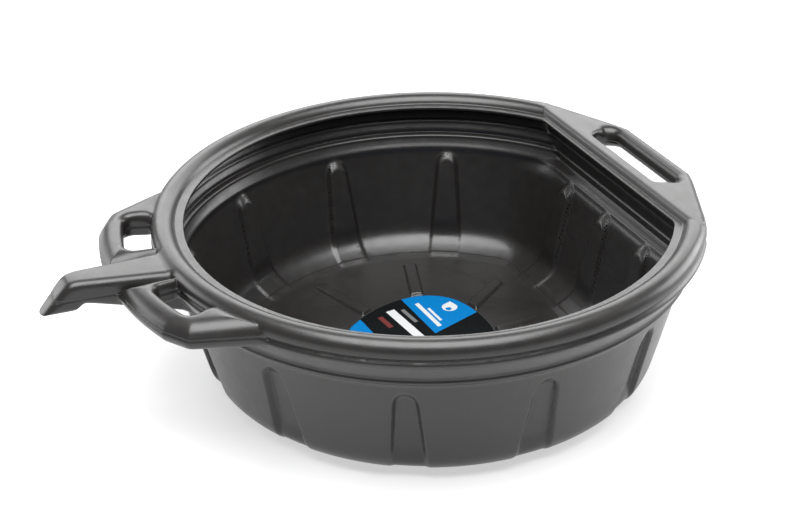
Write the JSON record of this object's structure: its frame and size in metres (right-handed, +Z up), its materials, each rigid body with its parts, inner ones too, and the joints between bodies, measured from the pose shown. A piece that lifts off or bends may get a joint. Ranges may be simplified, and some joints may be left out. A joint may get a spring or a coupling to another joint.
{
  "type": "oil drain pan",
  "caption": "Round plastic oil drain pan with a flat rear side, an inward anti-splash lip, loop handles, a rear grip handle and a closed pouring spout.",
  "frame": {"origin": "on the flat underside, at the centre of the round basin", "axes": "+X towards the rear grip handle on the flat side, -X towards the pouring spout, +Z up; the pan is symmetric about the XZ plane"},
  "size_m": [0.5976, 0.4958, 0.1626],
  "materials": {
    "moulded_plastic": "charcoal polyethylene moulding, satin with a fine grain",
    "label_print": "printed self-adhesive film, black and blue, semi-gloss"
  },
  "bodies": {
    "root": {"basin_floor": "moulded_plastic", "basin_wall": "moulded_plastic", "rim_band": "moulded_plastic", "splash_lip": "moulded_plastic", "handle_front_left": "moulded_plastic", "handle_front_right": "moulded_plastic", "handle_rear": "moulded_plastic", "pour_spout": "moulded_plastic", "floor_label": "label_print"}
  },
  "joints": []
}
